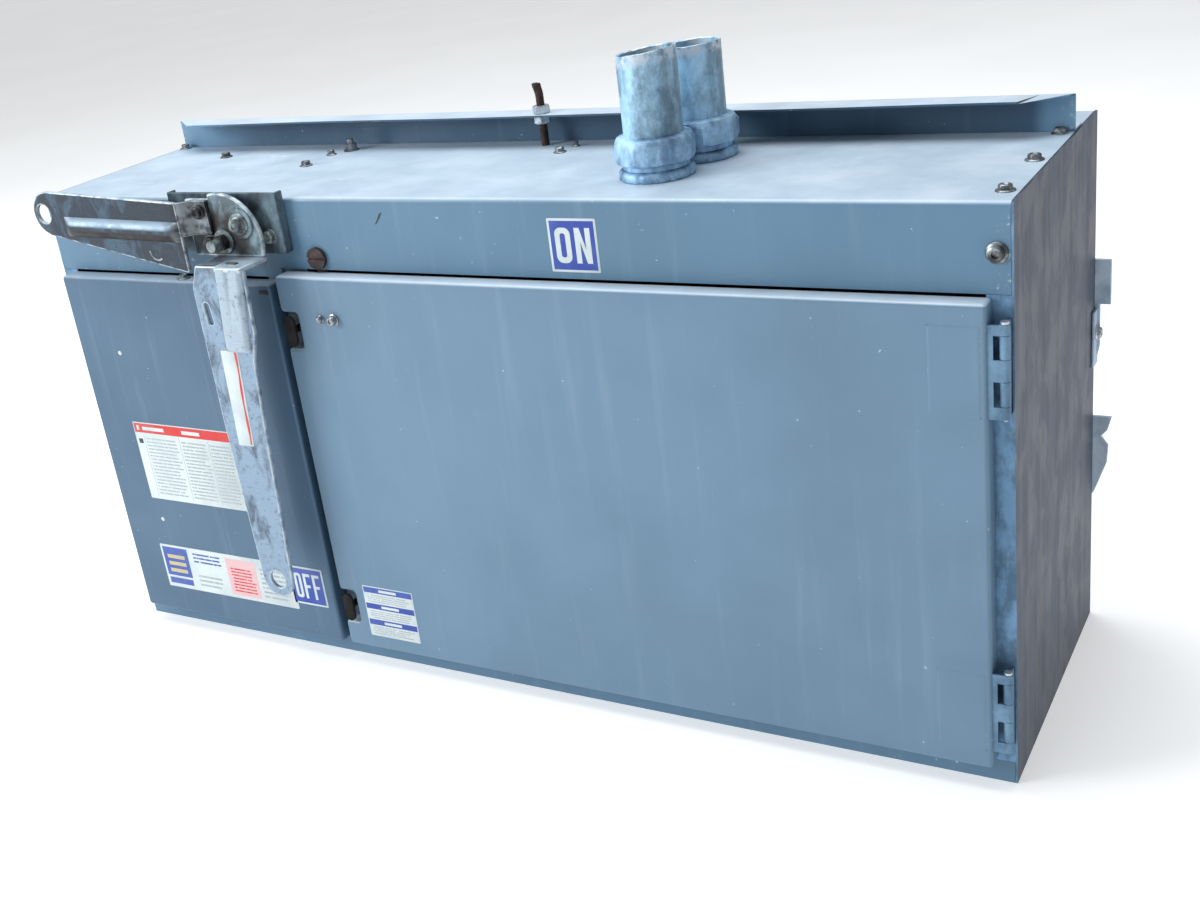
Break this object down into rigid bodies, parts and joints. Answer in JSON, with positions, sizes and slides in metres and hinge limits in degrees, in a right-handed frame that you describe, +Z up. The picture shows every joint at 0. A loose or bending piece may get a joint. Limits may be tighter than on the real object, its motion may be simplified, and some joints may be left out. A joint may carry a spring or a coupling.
{
  "type": "fused disconnect switch",
  "caption": "Plug-in fused disconnect enclosure with a two-arm hookstick handle, hinged fuse door, three-pole blade switch, fuses, conduits and busway jaws.",
  "frame": {"origin": "middle of the enclosure's underside", "axes": "+X along the enclosure towards the door hinges, +Y towards the busway, +Z up"},
  "size_m": [1.116, 0.42, 0.6608],
  "materials": {
    "painted_steel": "light blue-grey enamel, slightly dusty",
    "galvanised_steel": "weathered galvanised sheet",
    "zinc_plate": "zinc plated",
    "worn_steel": "worn plated steel",
    "rusted_steel": "dark rusted steel",
    "copper": "tarnished copper",
    "old_brass": "tarnished brass",
    "red_board": "moulded insulating board",
    "fuse_tube": "glass fibre fuse tube"
  },
  "bodies": {
    "enclosure": {"back_wall": "galvanised_steel", "bottom_pan": "painted_steel", "left_end_plate": "galvanised_steel", "right_end_plate": "galvanised_steel", "top_hood": "painted_steel", "busway_flange": "painted_steel", "centre_post": "galvanised_steel", "switch_cover": "painted_steel", "hinge_frame_leaf_upper": "galvanised_steel", "hinge_pin_upper": "zinc_plate", "hinge_frame_leaf_lower": "galvanised_steel", "hinge_pin_lower": "zinc_plate", "handle_bracket": "worn_steel", "crossbar_bearing": "red_board", "switch_board": "red_board", "fuse_board": "red_board", "ground_lug": "copper", "line_jaw_a": "copper", "load_jaw_a": "copper", "fuse_a": "fuse_tube", "load_lug_a": "copper", "line_jaw_b": "copper", "load_jaw_b": "copper", "fuse_b": "fuse_tube", "load_lug_b": "copper", "line_jaw_c": "copper", "load_jaw_c": "copper", "fuse_c": "fuse_tube", "load_lug_c": "copper", "conduit_front": "galvanised_steel", "locknut_front": "zinc_plate", "coupling_nut_front": "zinc_plate", "conduit_rear": "galvanised_steel", "locknut_rear": "zinc_plate", "coupling_nut_rear": "zinc_plate", "hanger_rod": "rusted_steel", "hanger_nut_top": "zinc_plate", "hanger_nut_bottom": "zinc_plate", "plug_on_hook_right": "galvanised_steel", "plug_on_hook_left": "galvanised_steel", "support_bracket": "galvanised_steel"},
    "door": {"fuse_door": "painted_steel", "hinge_door_leaf_upper": "galvanised_steel", "hinge_door_leaf_lower": "galvanised_steel"},
    "handle": {"handle_sector": "worn_steel", "handle_arm_off": "worn_steel", "handle_arm_on": "worn_steel", "handle_shaft": "worn_steel", "handle_shaft_nut": "worn_steel", "handle_drive_bolt": "worn_steel", "shaft_crank": "worn_steel"},
    "slide": {"slide_bar": "zinc_plate"},
    "switch_rotor": {"crossbar": "red_board", "crossbar_crank": "zinc_plate", "blade_a": "copper", "blade_b": "copper", "blade_c": "copper"},
    "latch_upper": {"door_latch_upper": "rusted_steel"},
    "latch_lower": {"door_latch_lower": "rusted_steel"},
    "release": {"release_screw": "old_brass"}
  },
  "joints": [
    {"name": "handle_turn", "type": "hinge", "parent": "enclosure", "child": "handle", "pos_m": [-0.256, -0.1805, 0.502], "axis": [0, -1, 0], "range_deg": [0, 90]},
    {"name": "slide_travel", "type": "slide", "parent": "enclosure", "child": "slide", "axis": [1, 0, 0], "range_m": [0, 0.0425]},
    {"name": "rotor_turn", "type": "hinge", "parent": "enclosure", "child": "switch_rotor", "pos_m": [-0.375, 0.0295, 0.225], "axis": [0, 0, 1], "range_deg": [0, 90.1]},
    {"name": "door_swing", "type": "hinge", "parent": "enclosure", "child": "door", "pos_m": [0.5358, -0.174, 0.2445], "axis": [0, 0, 1], "range_deg": [0, 110]},
    {"name": "latch_upper_turn", "type": "hinge", "parent": "enclosure", "child": "latch_upper", "pos_m": [-0.194, -0.182, 0.405], "axis": [0, -1, 0], "range_deg": [0, 90]},
    {"name": "latch_lower_turn", "type": "hinge", "parent": "enclosure", "child": "latch_lower", "pos_m": [-0.194, -0.182, 0.075], "axis": [0, -1, 0], "range_deg": [0, 90]},
    {"name": "release_turn", "type": "hinge", "parent": "enclosure", "child": "release", "pos_m": [-0.158, -0.1625, 0.479], "axis": [0, -1, 0], "range_deg": [0, 90]}
  ],
  "couplings": [
    {"joint": "slide_travel", "follows": "handle_turn", "m_per_rad": 0.027},
    {"joint": "rotor_turn", "follows": "handle_turn", "ratio": 1}
  ]
}
